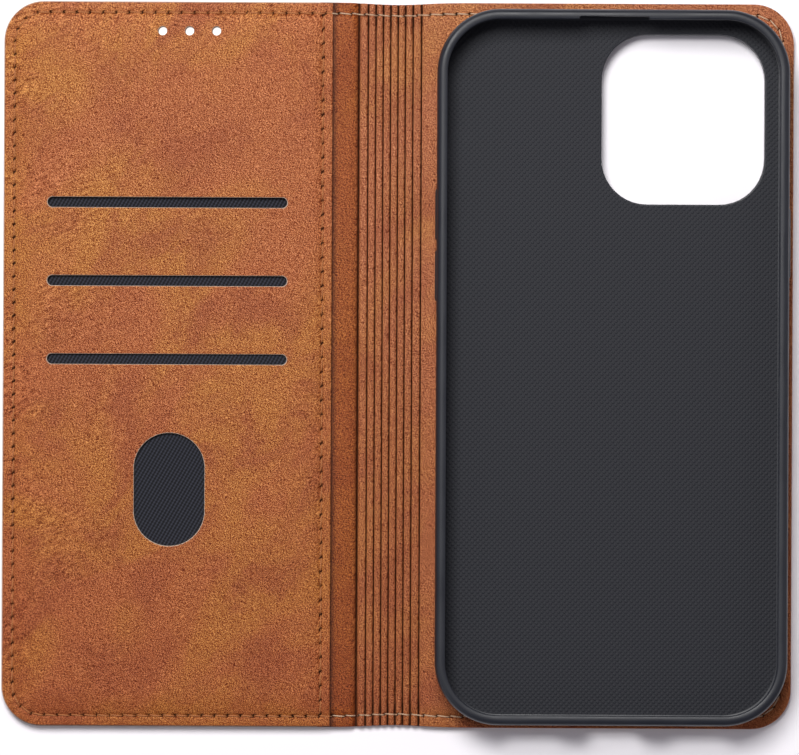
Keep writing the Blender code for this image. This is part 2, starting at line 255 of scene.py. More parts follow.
def cut_sheet(name, paths, spots, keep, top, bottom, materials, trim=None, marks=(), crease=None):
    """A closed sheet whose triangles follow the paths and take in the spots.

    keep(x, y) says where there is material, and top and bottom give the heights of its faces.
    Its cut edges, and the faces for which trim(x, y) is true, take the second material. The faces
    in the needle slits at marks, or for which crease(x, y) is true, take the third, painted shade.
    """
    points = [p for path in paths for p in path]
    links, start = [], 0
    for path in paths:
        links += [(start + i, start + i + 1) for i in range(len(path) - 1)]
        start += len(path)
    points += spots
    cut = delaunay_2d_cdt([Vector(p) for p in points], links, [], 0, 1e-4)
    flat, triangles = np.array([tuple(v) for v in cut[0]]), np.array(cut[2])
    triangles = triangles[keep(*flat[triangles].mean(axis=1).T)]
    used, triangles = np.unique(triangles, return_inverse=True)
    flat, triangles = flat[used], triangles.reshape(-1, 3)
    x, y = flat.T
    count = len(flat)
    sides = np.vstack([triangles[:, [0, 1]], triangles[:, [1, 2]], triangles[:, [2, 0]]])
    forward, backward = sides @ (count, 1), sides @ (1, count)
    a, b = sides[~np.isin(forward, backward)].T
    walls = np.column_stack([a + count, b + count, b, a])
    faces = triangles.tolist() + (triangles[:, ::-1] + count).tolist() + walls.tolist()
    middles = flat[triangles].mean(axis=1).T
    second, third = list(range(2 * len(triangles), len(faces))), []
    if trim is not None:
        second += np.flatnonzero(trim(*middles)).tolist()
    if len(marks):
        third += np.flatnonzero(punched(*middles, marks) > 0.45).tolist()
    if crease is not None:
        third += np.flatnonzero(crease(*middles)).tolist()
    pulled = drawn_in(x, y)
    vertices = np.vstack([np.column_stack([x, pulled, side(x, y)]) for side in (top, bottom)])
    return body_mesh(name, vertices, faces, materials, second, third)


def add(tree, kind, inputs=None, **settings):
    """Adds a node; each input is a value, or another node's output to wire to it."""
    made = tree.nodes.new("ShaderNode" + kind)
    for key, value in settings.items():
        setattr(made, key, value)
    for key, value in (inputs or {}).items():
        if isinstance(value, bpy.types.NodeSocket):
            tree.links.new(value, made.inputs[key])
        else:
            made.inputs[key].default_value = value
    return made


def finish(name, **sockets):
    """A new material, with its node tree and its shader set to these plain values."""
    material = bpy.data.materials.new(name)
    material.use_nodes = True
    shader = material.node_tree.nodes["Principled BSDF"]
    for key, value in sockets.items():
        shader.inputs[key.replace("_", " ").title().replace("Ior", "IOR")].default_value = value
    return material, material.node_tree, shader


def stretched(tree, vector, turn, length):
    """The vector, so that a texture is drawn out along a direction, in degrees from +X."""
    settings = {"Vector": vector, "Rotation": (0, 0, math.radians(turn)), "Scale": (length, 1, 1)}
    return add(tree, "Mapping", settings, vector_type="TEXTURE").outputs["Vector"]


def noise(tree, vector, scale, detail=2.0, roughness=0.5, distortion=0.0):
    settings = {"Vector": vector, "Scale": scale, "Detail": detail}
    settings |= {"Roughness": roughness, "Distortion": distortion}
    return add(tree, "TexNoise", settings, noise_dimensions="2D").outputs[0]


def ranged(tree, value, low, high, to_low=0.0, to_high=1.0):
    """The value brought smoothly from one range to another."""
    settings = {"Value": value, "From Min": low, "From Max": high}
    settings |= {"To Min": to_low, "To Max": to_high}
    return add(tree, "MapRange", settings, interpolation_type="SMOOTHSTEP").outputs[0]


def maths(tree, operation, a, b):
    return add(tree, "Math", {0: a, 1: b}, operation=operation).outputs[0]


def vector_maths(tree, operation, a, b):
    return add(tree, "VectorMath", {0: a, 1: b}, operation=operation).outputs[0]


def between(tree, share, a, b):
    """The number that is this share of the way from a to b."""
    return add(tree, "Mix", {0: share, 2: a, 3: b}).outputs[0]


def mixed(tree, share, a, b, kind="MIX"):
    """The colour that is this share of the way from a to b."""
    settings = {0: share, 6: a, 7: b}
    return add(tree, "Mix", settings, data_type="RGBA", blend_type=kind).outputs[2]


def toned(tree, colour, factors):
    """The colour with its red, green and blue multiplied."""
    return mixed(tree, 1.0, colour, (*factors, 1), "MULTIPLY")


def place_in(tree):
    """Where a point is on the object, in metres."""
    return add(tree, "TexCoord").outputs["Object"]


def bumped(tree, shader, height, distance):
    """Gives the shader a relief this deep, in mm."""
    bump = add(tree, "Bump", {"Height": height, "Distance": distance * MM, "Strength": 1.0})
    tree.links.new(bump.outputs["Normal"], shader.inputs["Normal"])


# What the red, green and blue of the colour are multiplied by in each place.
# The foot's factors are painted shade: the leather darkens towards the foot.
FOOT_SHADE_TONE = (0.86, 0.76, 0.66)
PRESSED_TONE = (0.76, 0.59, 0.32)
# The strip's edge factors are painted shade inside both sides of the pressed strip.
STRIP_SHADE_TONE = (0.28, 0.24, 0.25)
# The pits' factors are partly the dye and partly painted shade; the glints' factors are painted
# highlights.
PIT_DYE_AND_SHADE_TONE = (0.34, 0.17, 0.06)
PAINTED_GLINT_TONE = (2.4, 4.1, 7.8)
CREASE_DEPTH = 0.08  # of the long creases, as a share of the grain's


def leather(name, tan, gold, red, smooth_from=None, wrinkles=0.0, softness=0.08):
    """Coated leather: soft warm patches under a fine grain drawn up to the right. Its pits are
    darker, partly from the dye and partly from painted shade, and its tops are paler with painted
    glints.

    tan, gold and red are its colours, darkened towards the foot by painted shade. Between the two X
    values in smooth_from the leather is pressed darker and nearly flat, with painted shade inside
    its two sides.
    wrinkles deepens the long creases towards the left free edge. The smaller the softness, the
    sharper the grain's painted glints and its pits of dye and painted shade.
    """
    material, tree, shader = finish(name, roughness=0.5, specular_ior_level=0.15)
    lay = add(tree, "UVMap", uv_map="lay").outputs["UV"]
    split = add(tree, "SeparateXYZ", {0: lay})
    x, y = split.outputs["X"], split.outputs["Y"]
    swept = stretched(tree, lay, 50, 1.6)
    golden = ranged(tree, noise(tree, swept, 0.42, 3.0, 0.55, 0.5), 0.35, 0.65)
    reddened = ranged(tree, noise(tree, swept, 0.85, 4.0, 0.6, 0.4), 0.42, 0.72, 0.0, 0.75)
    colour = mixed(tree, golden, (*tan, 1), (*gold, 1))
    colour = mixed(tree, reddened, colour, (*red, 1))
    # Painted shade: the colour darkens towards the foot of the case.
    foot_shade = ranged(tree, y, -9.0, 7.0, 1.0, 0.0)
    colour = mixed(tree, foot_shade, colour, toned(tree, colour, FOOT_SHADE_TONE))

    settings = {"Vector": lay, "Scale": 4.0, "Detail": 1.0}
    wobble = add(tree, "TexNoise", settings, noise_dimensions="2D").outputs["Color"]
    sway = vector_maths(tree, "MULTIPLY", wobble, (0.06, 0.06, 0.0))
    steep_grain = vector_maths(tree, "ADD", stretched(tree, lay, 38, 3.0), sway)
    low_grain = vector_maths(tree, "SUBTRACT", stretched(tree, lay, 26, 3.0), sway)
    steep_grain = noise(tree, steep_grain, 82.0, 1.0)
    height = between(tree, 0.45, steep_grain, noise(tree, low_grain, 106.0, 1.0))
    creases = noise(tree, stretched(tree, lay, 26, 3.5), 15.0, 2.0, 0.5, 0.4)
    creases = maths(tree, "SUBTRACT", creases, 0.5)
    crease_depth = CREASE_DEPTH
    if wrinkles:
        where = ranged(tree, noise(tree, lay, 0.5, 2.0), 0.40, 0.62)
        outer = ranged(tree, x, -EDGE / 10, -5.0, wrinkles, 0.1 * wrinkles)
        crease_depth = maths(tree, "ADD", maths(tree, "MULTIPLY", where, outer), crease_depth)
    height = maths(tree, "ADD", height, maths(tree, "MULTIPLY", creases, crease_depth))

    if smooth_from:
        low, high = (value / 10 for value in smooth_from)
        from_left = ranged(tree, x, low - 0.1, low + 0.1)
        pressed = maths(tree, "MULTIPLY", from_left, ranged(tree, x, high - 0.1, high, 1.0, 0.0))
        height = between(tree, pressed, height, ranged(tree, height, 0.0, 1.0, 0.22, 0.78))
        colour = mixed(tree, pressed, colour, toned(tree, colour, PRESSED_TONE))
        # Painted shade: dark bands beside the pocket panel's edge and beside the first groove.
        panel_edge_shade = ranged(tree, x, low + 0.20, low + 0.37, 1.0, 0.0)
        corners = maths(tree, "MAXIMUM", panel_edge_shade, ranged(tree, x, high - 0.10, high))
        corners = maths(tree, "MULTIPLY", corners, pressed)
        colour = mixed(tree, corners, colour, toned(tree, colour, STRIP_SHADE_TONE))

    # The grain's pits darken, partly from the dye and partly from painted shade; its tops take
    # painted highlights.
    pits, glints = toned(tree, colour, PIT_DYE_AND_SHADE_TONE), toned(tree, colour, PAINTED_GLINT_TONE)
    colour = mixed(tree, ranged(tree, height, 0.49 - softness, 0.49), pits, colour)
    colour = mixed(tree, ranged(tree, height, 0.51, 0.51 + softness), colour, glints)
    tree.links.new(colour, shader.inputs["Base Color"])
    tree.links.new(ranged(tree, height, 0.41, 0.59, 0.62, 0.42), shader.inputs["Roughness"])
    bumped(tree, shader, height, 0.12)
    return material


TAN, GOLD, RED = (0.283, 0.0645, 0.0142), (0.305, 0.083, 0.0130), (0.225, 0.045, 0.0108)
outer_leather = leather("outer_leather", TAN, GOLD, RED)
cut_edge, edge_tree, edge_shader = finish("cut_leather_edge", roughness=0.75)
fibre = noise(edge_tree, place_in(edge_tree), 2500.0, 3.0, 0.7)
edge_colour = mixed(edge_tree, fibre, (0.30, 0.20, 0.14, 1), (0.62, 0.50, 0.40, 1))
edge_tree.links.new(edge_colour, edge_shader.inputs["Base Color"])
bumped(edge_tree, edge_shader, fibre, 0.04)
# Painted shade: a near-black for the inside of each needle slit and the bottom of each pressed
# groove.
painted_slit_shade, slit_tree, slit_shader = finish("needle_slit_painted_shade", roughness=0.9, specular_ior_level=0.1)
pricked = noise(slit_tree, place_in(slit_tree), 4000.0)
slit_shade_colour = mixed(slit_tree, pricked, (0.020, 0.006, 0.003, 1), (0.06, 0.017, 0.007, 1))
slit_tree.links.new(slit_shade_colour, slit_shader.inputs["Base Color"])

# The front cover's three sound holes, and the hole in the back cover for the tray's camera collar.
SOUND_HOLE = 2.0  # across
SOUND_HOLES = [pill((x, 76.5), SOUND_HOLE, SOUND_HOLE) for x in (-54.3, -48.1, -41.9)]
tray_low, tray_high = (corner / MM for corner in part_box("phone_tray"))
TRAY_WALL = 1.35
CAVITY_CORNER = 13.15
CAVITY = (tray_low.x + TRAY_WALL, tray_high.x - TRAY_WALL,
          tray_low.y + TRAY_WALL, tray_high.y - TRAY_WALL, CAVITY_CORNER)
CAMERA_WINDOW = (CAVITY[1] - 41.5, CAVITY[1] - 4.0, CAVITY[3] - 43.0, CAVITY[3] - 4.0, 10.5)
COLLAR_WALL = 1.0
COLLAR_HOLE = grown(CAMERA_WINDOW, COLLAR_WALL + 0.25)


def over_spine(x):
    """1 over the spine and its folds, where there is no board, and 0 over the covers."""
    past_front = ease(FRONT_FOLD - 3.0, FRONT_FOLD - 1.6, x)
    return past_front * (1 - ease(BACK_FOLD + 1.6, BACK_FOLD + 3.0, x))


def over_board(x, y):
    """0 on the sewn rim and 1 inside it, where the boards lie."""
    return ease(RIM_WIDTH - RIM_FALL, RIM_WIDTH, depth(COVER, x, y))


def skin_top(x, y):
    """The rim's height where the layers are sewn, and the flat where the boards lie."""
    rim_height = PANEL_RIM + (SKIN_RIM - PANEL_RIM) * ease(LINING_LEFT - 0.6, LINING_LEFT, x)
    rim_height = rim_height * (1 - over_spine(x)) + SKIN_TOP * over_spine(x)
    return rim_height + (SKIN_TOP - rim_height) * over_board(x, y)


def skin_bottom(x, y):
    """The outside: a lower rim round the board, the thread's groove, and a crease at each fold."""
    inwards = depth(COVER, x, y)
    height = 0.16 * (1 - ease(2.4, 5.0, inwards)) + 0.16 * ridge(inwards - SEWING_INSET, 0.4)
    for fold in (BACK_FOLD, FRONT_FOLD):
        height = height + 0.12 * ridge(x - fold, 0.8)
    height = height + 0.2 * punched(x, y, ROUND_SEAM)
    return height + rounding(inwards)


def skin(name, side):
    """One half of the outer leather; side is -1 for the front."""
    holes = SOUND_HOLES if side < 0 else [COLLAR_HOLE]
    fold = FRONT_FOLD if side < 0 else BACK_FOLD
    paths = [rim(inset, side, SEAM, 1.6) for inset in (*ROUND_EDGE, 1.9, 2.25, 2.6, 2.95, 3.3, 4.2)]
    paths += [crossing(fold + offset) for offset in np.arange(-2.4, 2.5, 0.4)] + [crossing(SEAM)]
    for hole in holes:
        paths += [outline(grown(hole, inset), 1.2, 6) for inset in ROUND_EDGE[:-1]]
    marks = ROUND_SEAM[side * (ROUND_SEAM[:, 0] - SEAM) > 0.2]
    spots = meadow(grown(COVER, -5.0), 3.0) + around(marks)

    def keep(x, y):
        solid = (side * (x - SEAM) > 0) & (depth(COVER, x, y) > 0)
        for hole in holes:
            solid &= depth(hole, x, y) < 0
        return solid

    def bottom(x, y):
        height = skin_bottom(x, y)
        for hole in holes:
            height = height + rounding(-depth(hole, x, y), HOLE_EDGE_RADIUS)
        return height

    made = cut_sheet(name, paths, spots, keep, skin_top, bottom, [outer_leather, cut_edge],
                     lambda x, y: depth(COVER, x, y) < EDGE_RADIUS)
    return made


outer_back = skin("back_and_spine_leather", 1)
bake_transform(outer_back)
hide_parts("back_outer_leather", "spine_outer_leather")
outer_front = skin("front_and_spine_leather", -1)
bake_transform(outer_front)
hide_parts("front_outer_leather", "spine_outer_leather")


# ---- Stiffener boards, magnets and keepers ---------------------------------------------------
# A thin pressed sheet stiffens each cover. Two flat magnets in the front one meet two steel
# keepers in the back one to hold the case shut. All of them are closed in between the layers.

board_finish, board_tree, board_shader = finish("stiffener_board", roughness=0.85)
flecks = noise(board_tree, place_in(board_tree), 900.0, 4.0, 0.7)
board_colour = mixed(board_tree, flecks, (0.42, 0.39, 0.34, 1), (0.66, 0.63, 0.57, 1))
board_tree.links.new(board_colour, board_shader.inputs["Base Color"])
bumped(board_tree, board_shader, flecks, 0.05)

NICKEL = (0.62, 0.62, 0.64, 1)
plated, plated_tree, plated_shader = finish("nickel_plate", base_color=NICKEL, metallic=1.0)
brushing = noise(plated_tree, stretched(plated_tree, place_in(plated_tree), 90, 20), 5000.0)
brushed_roughness = ranged(plated_tree, brushing, 0.2, 0.8, 0.24, 0.42)
plated_tree.links.new(brushed_roughness, plated_shader.inputs["Roughness"])

for node_name, node_finish in (
    ("back_board", board_finish),
    ("front_board", board_finish),
    ("front_magnet_upper", plated),
    ("front_magnet_lower", plated),
    ("back_keeper_upper", plated),
    ("back_keeper_lower", plated),
):
    frame["nodes"][node_name].data.materials.clear()
    frame["nodes"][node_name].data.materials.append(node_finish)


# ---- Lining with the pressed spine -----------------------------------------------------------
# The inside is lined with thinner leather of the same tan. Nine grooves are pressed into it along
# the spine, the deepest beside the front cover, and the end seams pinch them wider; painted shade
# darkens their bottoms. Between the deepest groove and the pockets it is pressed smoother and
# darker, with painted shade inside both sides of that strip.

LINING_TOP = 2.6
LINING_UNDER = 1.86  # its underside, over the board
GLUE = 0.02  # the gap under it where it lies on the outer leather
SPINE_TOP = 2.12
FIRST_GROOVE = (0.95, 0.26)  # depth and width
OTHER_GROOVES = (0.55, 0.14)
SMOOTH_STRIP = (-15.6, -7.5)


def grooves(x, y):
    """The pressed grooves' depth, with the ribs between them slightly crowned."""
    pinch = ease(END - 10.0, END - SEWING_INSET, np.abs(y))
    deep = np.zeros_like(x)
    for i, middle in enumerate(PLEATS):
        cut, width = OTHER_GROOVES if i else FIRST_GROOVE
        deep = np.maximum(deep, (cut + 0.1 * pinch) * ridge(x - middle, width * (1 + 0.9 * pinch)))
    pitch = np.interp(x, PLEATS, range(len(PLEATS)))
    crown = (0.7 + 0.4 * pinch) * (pitch % 1.0 - 0.5) ** 2
    return deep + np.where((pitch > 0) & (pitch < len(PLEATS) - 1), crown, 0.0)


def lining_top(x, y):
    """The lining's upper face without its cut edges or needle slits."""
    inwards = depth(COVER, x, y)
    past_first = ease(PLEATS[0] - 0.3, PLEATS[0] + 0.3, x)
    spine = past_first * (1 - ease(BACK_FOLD - 1.6, BACK_FOLD + 1.2, x))
    height = LINING_TOP - (LINING_TOP - SPINE_TOP) * spine
    height = height - (1 - 0.75 * spine) * 0.5 * (1 - ease(0.4, 5.0, inwards))
    height = height - 0.16 * ridge(inwards - SEWING_INSET, 0.45) * (1 - 0.4 * spine)
    height = height - 0.3 * ease(PLEATS[0] - 1.8, PLEATS[0], x) * (x < PLEATS[0])
    return height - grooves(x, y)


def lining_bottom(x, y):
    """It lies on the rim, over the boards, and straight on the outer leather in the spine."""
    height = LINING_UNDER + (SKIN_RIM + GLUE - LINING_UNDER) * (1 - over_board(x, y))
    return height + (SKIN_TOP + GLUE - height) * over_spine(x)


lining_leather = leather("lining_leather", (0.268, 0.064, 0.0165), (0.285, 0.075, 0.0155),
                         (0.222, 0.046, 0.0120), SMOOTH_STRIP, softness=0.055)


def lining(name, side):
    """One half of the lining; the front one ends under the pocket panel."""
    insets = (*ROUND_EDGE, 1.3, 2.1, 2.4, 2.6, 2.8, 3.1, 4.0, 5.2)
    paths = [rim(inset, side, SEAM, 1.6) for inset in insets]
    for middle in PLEATS:
        offsets = (-0.5, -0.32, -0.2, -0.12, -0.05, 0.0, 0.05, 0.12, 0.2, 0.32, 0.5)
        paths += [crossing(middle + offset, 1.6) for offset in offsets]
    paths += [crossing((a + b) / 2, 1.6) for a, b in zip(PLEATS, PLEATS[1:])]
    paths += [crossing(BACK_FOLD + offset) for offset in np.arange(-1.4, 2.5, 0.35)]
    paths += [crossing(LINING_LEFT)] + [crossing(x, 4.0) for x in (-14.5, -12.5, -10.8, -10.0)]
    marks = ROUND_SEAM[side * (ROUND_SEAM[:, 0] - SEAM) > 0.2]
    spots = meadow((BACK_FOLD + 3, EDGE - 5.5, -END + 5.5, END - 5.5, 4.0), 5.0) + around(marks)
    if side > 0:
        paths += [outline(COLLAR_HOLE, 1.5, 8)]

    def keep(x, y):
        solid = (side * (x - SEAM) > 0) & (depth(COVER, x, y) > 0) & (x > LINING_LEFT)
        return solid & (depth(COLLAR_HOLE, x, y) < 0)

    def top(x, y):
        height = lining_top(x, y) - 0.45 * punched(x, y, ROUND_SEAM)
        return np.maximum(height - rounding(depth(COVER, x, y)), lining_bottom(x, y) + 0.08)

    def crease(x, y):
        """The bottoms of the grooves, which take painted shade."""
        near = np.abs(x[:, None] - np.array(PLEATS)).min(axis=1)
        reach = np.where(x < PLEATS[0] + 1, 0.15, 0.11)
        return near < reach + 0.1 * ease(END - 8.0, END - 3.0, np.abs(y))

    made = cut_sheet(name, paths, spots, keep, top, lining_bottom,
                     [lining_leather, cut_edge, painted_slit_shade], None, marks, crease)
    return made


lining_back = lining("back_and_spine_lining", 1)
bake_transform(lining_back)
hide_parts("back_lining", "spine_lining")
lining_front = lining("front_and_spine_lining", -1)
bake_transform(lining_front)
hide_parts("front_lining", "spine_lining")


# ---- Pocket fabrics --------------------------------------------------------------------------
# Behind the pocket panel lie three sheets of black twill, one behind each slot. The foremost
# also shows in the thumb window. They are glued flat along their edges.

SLOT_MIDDLE = -53.0
SLOT_LENGTH = 55.0
SLOT_HEIGHT = 2.35
SLOTS = [pill((SLOT_MIDDLE, y), SLOT_LENGTH, SLOT_HEIGHT) for y in (37.1, 19.1, 1.1)]
THUMB_WINDOW = pill((-52.3, -28.8), 16.2, 25.9)
FABRIC_EDGES = (-85.6, -19.4, -78.2)  # left, right and foot
FABRIC_THICKNESS = 0.16


def bands(tree, vector, turn, scale, distortion=0.0):
    """Smooth bands across one direction, 0.314 / scale of the map's units apart."""
    settings = {"Vector": stretched(tree, vector, turn, 1.0), "Scale": scale}
    settings["Distortion"] = distortion
    kind = {"wave_type": "BANDS", "bands_direction": "X", "wave_profile": "SIN"}
    return add(tree, "TexWave", settings, **kind).outputs["Fac"]


twill, twill_tree, twill_shader = finish("black_twill", roughness=0.8, specular_ior_level=0.25,
                                         sheen_weight=0.1, sheen_roughness=0.4)
weave = add(twill_tree, "UVMap", uv_map="lay").outputs["UV"]
slip = vector_maths(twill_tree, "MULTIPLY", noise(twill_tree, weave, 9.0, 2.0), (0.012, 0.012, 0.0))
weave = vector_maths(twill_tree, "ADD", weave, slip)
cords = maths(twill_tree, "MULTIPLY", bands(twill_tree, weave, -30, 4.2), 0.75)
floats = maths(twill_tree, "MULTIPLY", bands(twill_tree, weave, 62, 4.9), 0.35)
woven = maths(twill_tree, "ADD", cords, floats)
raised = ranged(twill_tree, woven, 0.25, 1.0)
twill_colour = mixed(twill_tree, raised, (0.003, 0.003, 0.005, 1), (0.026, 0.028, 0.040, 1))
twill_tree.links.new(twill_colour, twill_shader.inputs["Base Color"])
bumped(twill_tree, twill_shader, woven, 0.09)


def pocket_fabric(name, head, height, node):
    """A flat sheet of twill that ends at this head edge and lies at this height."""
    left, right, foot = FABRIC_EDGES
    plate = (left, right, foot, head, 1.5)

    def top(x, y):
        return height + 0.05 * np.sin(x / 7.0 + height) * np.sin(y / 9.0)

    paths = [outline(plate, 2.0, 4), outline(grown(plate, -0.8), 2.0, 4)]
    made = cut_sheet(name, paths, meadow(plate, 3.0), lambda x, y: depth(plate, x, y) > 0,
                     top, lambda x, y: top(x, y) - FABRIC_THICKNESS, [twill, twill])
    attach(made, "front_cover")
    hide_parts(node)


pocket_fabric("upper_pocket_twill", 72.0, 2.95, "pocket_backing")
pocket_fabric("middle_pocket_twill", 23.1, 3.18, "middle_pocket_divider")
pocket_fabric("lower_pocket_twill", 5.1, 3.40, "lower_pocket_divider")


# ---- Pocket panel ----------------------------------------------------------------------------
# One piece of the tan leather covers the front cover, with three card slots, the thumb window and
# the sound holes punched through it. It is sewn down all round and puffs up inside the seam.

PANEL_INSET = 0.22  # the outer leather's edge shows this much round the panel
PANEL_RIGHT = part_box("card_pocket_panel")[1].x / MM
PANEL_TOP = 4.25
PANEL_THICKNESS = 0.75
PANEL_CUTS = [*SLOTS, THUMB_WINDOW, *SOUND_HOLES]
BARE_LINE = 0.13  # the width of the thin line of bare leather round each cut
PANEL_SEAM_X = PANEL_RIGHT - 2.2
PANEL_PITCH = 3.25  # its own seam's stitches are a little longer
SEAM_END = END - SEWING_INSET - 0.4
PANEL_SEAM = needle_marks([(PANEL_SEAM_X, -SEAM_END), (PANEL_SEAM_X, SEAM_END)], PANEL_PITCH)
PANEL_MARKS = np.vstack([ROUND_SEAM[ROUND_SEAM[:, 0] < PANEL_RIGHT], PANEL_SEAM])

panel_leather = leather("panel_leather", TAN, GOLD, RED, wrinkles=0.2)


def panel_crown(x, y):
    """The panel's upper face without its cut edges or needle slits."""
    inwards = depth(COVER, x, y)
    free_fall, inner_fall = 1 - ease(0.0, 7.5, inwards), 1 - ease(0.0, 6.0, PANEL_RIGHT - x)
    fall = np.hypot(1.35 * free_fall, 0.75 * inner_fall)
    height = PANEL_TOP - fall - 0.2 * ridge(inwards - SEWING_INSET, 0.5)
    height = height - 0.2 * ridge(x - PANEL_SEAM_X, 0.5) * ease(1.0, 2.6, inwards)
    sway = np.sin(x / 11.0 + 0.8) * np.sin(y / 15.0 + 2.1) + 0.7 * np.sin((x + 1.4 * y) / 19.0)
    return height + 0.07 * sway * ease(4.0, 12.0, inwards)


def panel_top(x, y):
    height = panel_crown(x, y) - 0.5 * punched(x, y, PANEL_MARKS)
    height = height - rounding(depth(COVER, x, y) - PANEL_INSET) - rounding(PANEL_RIGHT - x)
    for hole in PANEL_CUTS:
        height = height - rounding(-depth(hole, x, y), 0.2)
    return height


def panel_bottom(x, y):
    return panel_crown(x, y) - PANEL_THICKNESS


def panel_keep(x, y):
    solid = (depth(COVER, x, y) > PANEL_INSET) & (x < PANEL_RIGHT)
    for hole in PANEL_CUTS:
        solid &= depth(hole, x, y) < 0
    return solid


def panel_trim(x, y):
    """The bare leather round each cut."""
    near = np.zeros_like(x, bool)
    for hole in PANEL_CUTS:
        near |= (-depth(hole, x, y) < BARE_LINE)
    return near


panel_paths = [rim(PANEL_INSET + inset, -1, PANEL_RIGHT, 1.2) for inset in ROUND_EDGE]
for inset in (1.1, 1.8, 2.1, 2.35, 2.6, 2.85, 3.1, 3.5, 4.4, 5.6, 7.0):
    panel_paths.append(rim(inset, -1, PANEL_RIGHT, 1.0))
for inset in (*ROUND_EDGE, 0.8, 1.4, 1.7, 1.95, 2.2, 2.45, 2.7, 3.1, 4.0, 5.0, 6.2):
    ends = [(PANEL_RIGHT - inset, -END + 0.2), (PANEL_RIGHT - inset, END - 0.2)]
    panel_paths.append(spread(ends, 1.2))
for hole in PANEL_CUTS:
    panel_paths += [outline(grown(hole, inset), 0.8) for inset in (0.0, 0.04, 0.1, 0.2, 0.5)]
panel_flat = (-EDGE + 7.5, PANEL_RIGHT - 6.5, -END + 7.5, END - 7.5, 2.0)
panel_spots = meadow(panel_flat, 1.6) + around(PANEL_MARKS)
panel = cut_sheet("pocket_panel", panel_paths, panel_spots, panel_keep, panel_top, panel_bottom,
                  [panel_leather, cut_edge, painted_slit_shade], panel_trim, PANEL_MARKS)
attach(panel, "front_cover")
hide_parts("card_pocket_panel")


# ---- Stitches --------------------------------------------------------------------------------
# One line of waxed thread runs round the whole case through every layer, and another down the
# inner edge of the pocket panel. It is tan on the panel; on the spine and the lining the same
# thread takes a paler copy of that colour, a painted highlight.
# Each stitch is a short bowed length between two needle slits.

THREAD_RADIUS = 0.15
STITCH_ROWS = [  # how far along the stitch, how high over the surface in mm, and how thick
    (0.03, -0.45, 0.6), (0.1, -0.2, 0.85), (0.19, 0.02, 1.0), (0.32, 0.11, 1.05),
    (0.5, 0.14, 1.05),
    (0.68, 0.11, 1.05), (0.81, 0.02, 1.0), (0.9, -0.2, 0.85), (0.97, -0.45, 0.6),
]
SLANT = 0.13  # how far its ends lie to either side of the seam
TURNS = 8
UNDERSIDE_LIFT = -0.35  # outside the case the stitches are flatter, and face down


def twisted_thread(name, shade, light):
    """Waxed two-ply thread between these two colours."""
    material, tree, shader = finish(name, roughness=0.6, specular_ior_level=0.2)
    twist = add(tree, "UVMap", uv_map="twist").outputs["UV"]
    ply = bands(tree, twist, 30, 1.1, 0.6)
    tree.links.new(mixed(tree, ply, (*shade, 1), (*light, 1)), shader.inputs["Base Color"])
    bumped(tree, shader, ply, 0.05)
    return material


thread_finish = twisted_thread("tan_thread", (0.24, 0.075, 0.022), (0.55, 0.22, 0.085))
# The same thread made paler: a painted highlight where it crosses the spine and the lining.
thread_with_painted_highlight = twisted_thread("thread_with_painted_highlight", (0.30, 0.16, 0.085), (0.72, 0.54, 0.38))


def stitches(marks, height, lift_share=1):
    """Vertices and faces of one stitch between each two marks, lying on a surface."""
    p, q = marks[:-1], marks[1:]
    along = (q - p) / np.linalg.norm(q - p, axis=1, keepdims=True)
    across = np.column_stack([-along[:, 1], along[:, 0]])
    points = []
    for place, lift, girth in STITCH_ROWS:
        flat = p + (q - p) * place + across * SLANT * (1 - 2 * place)
        z = height(*flat.T) + lift_share * lift
        for i in range(TURNS):
            turn = 2 * math.pi * i / TURNS
            side = THREAD_RADIUS * girth * math.cos(turn)
            up = THREAD_RADIUS * girth * math.sin(turn)
            x, y = (flat + across * side).T
            points.append(np.column_stack([x, drawn_in(x, y), z + up]))
    vertices = np.stack(points, axis=1).reshape(-1, 3)
    rows = len(STITCH_ROWS)
    faces = []
    for s in range(len(p)):
        first = s * rows * TURNS
        for k in range(rows - 1):
            for i in range(TURNS):
                a, b = first + k * TURNS + i, first + k * TURNS + (i + 1) % TURNS
                faces.append((a, b, b + TURNS, a + TURNS))
        faces.append(tuple(reversed(range(first, first + TURNS))))
        faces.append(tuple(range(first + (rows - 1) * TURNS, first + rows * TURNS)))
    return vertices, faces


def thread(name, *runs):
    """One object of thread from several runs of stitches; beyond the pocket panel it has a painted
    highlight.
    """
    vertices, faces, count = [], [], 0
    for run_vertices, run_faces in runs:
        vertices.append(run_vertices)
        faces += [tuple(v + count for v in face) for face in run_faces]
        count += len(run_vertices)
    vertices = np.vstack(vertices)
    # The faces beyond the pocket panel take the paler thread, a painted highlight.
    bare = [i for i, face in enumerate(faces) if vertices[face[0]][0] > PANEL_RIGHT]
    made = body_mesh(name, vertices, faces, [thread_finish, thread_with_painted_highlight], bare)
    turns = np.arange(count) % TURNS / TURNS
    places = (np.arange(count) // TURNS % len(STITCH_ROWS)) / (len(STITCH_ROWS) - 1)
    corners = np.zeros(len(made.data.loops), np.int32)
    made.data.loops.foreach_get("vertex_index", corners)
    twisted = np.column_stack([places * STITCH_PITCH, turns * 1.2])[corners]
    made.data.uv_layers.new(name="twist").data.foreach_set("uv", twisted.ravel())
    return made


def sewn_surface(x, y):
    """What the needle enters from inside the case: the pocket panel, or the lining beyond it."""
    return np.where(x < PANEL_RIGHT, panel_crown(x, y), lining_top(x, y) + 0.06)


def outside_surface(x, y):
    """What it comes out of: the outer leather's outside, with the thread mostly sunk in."""
    return skin_bottom(x, y) + 0.12


